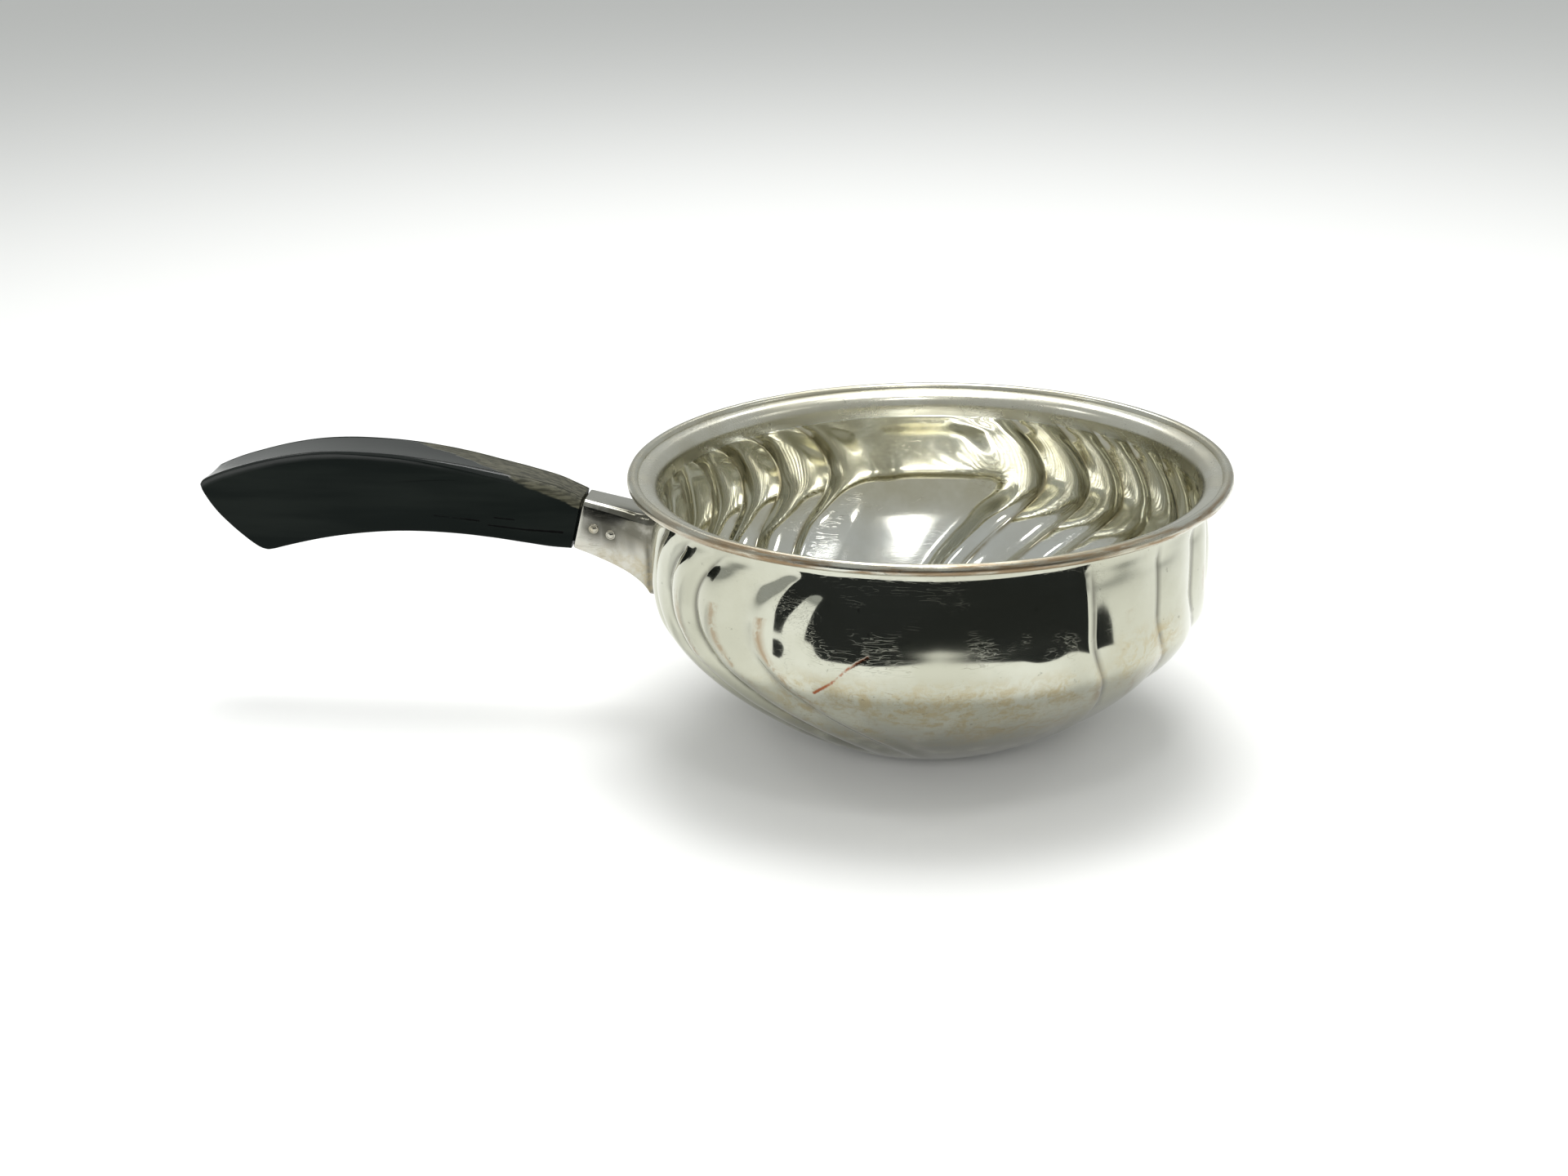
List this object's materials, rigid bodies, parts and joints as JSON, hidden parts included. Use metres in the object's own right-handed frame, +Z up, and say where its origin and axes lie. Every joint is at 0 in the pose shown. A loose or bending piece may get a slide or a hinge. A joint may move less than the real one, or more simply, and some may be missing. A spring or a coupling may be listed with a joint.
{
  "type": "sauce boat",
  "caption": "Round swirl-fluted silver sauce boat with a flared lip, wire rim and a side handle of dark wood held in a soldered socket.",
  "frame": {"origin": "centre of the flat underside that the bowl stands on", "axes": "+Z up along the bowl's axis, the handle points along -X, +Y is the side away from the viewer"},
  "size_m": [0.235, 0.134, 0.0641],
  "materials": {
    "silver_plate": "polished silver plate over brass, scratched and yellowed",
    "worn_rim_silver": "silver plate worn through to the copper-coloured base metal",
    "socket_silver": "silver plate, dulled by handling",
    "ebonised_wood": "black stained wood, half gloss, worn at the socket",
    "pin_silver": "silver plate"
  },
  "bodies": {
    "root": {"bowl_shell": "silver_plate", "rim_wire": "worn_rim_silver", "handle_socket": "socket_silver", "handle_grip": "ebonised_wood", "handle_pins": "pin_silver"}
  },
  "joints": []
}
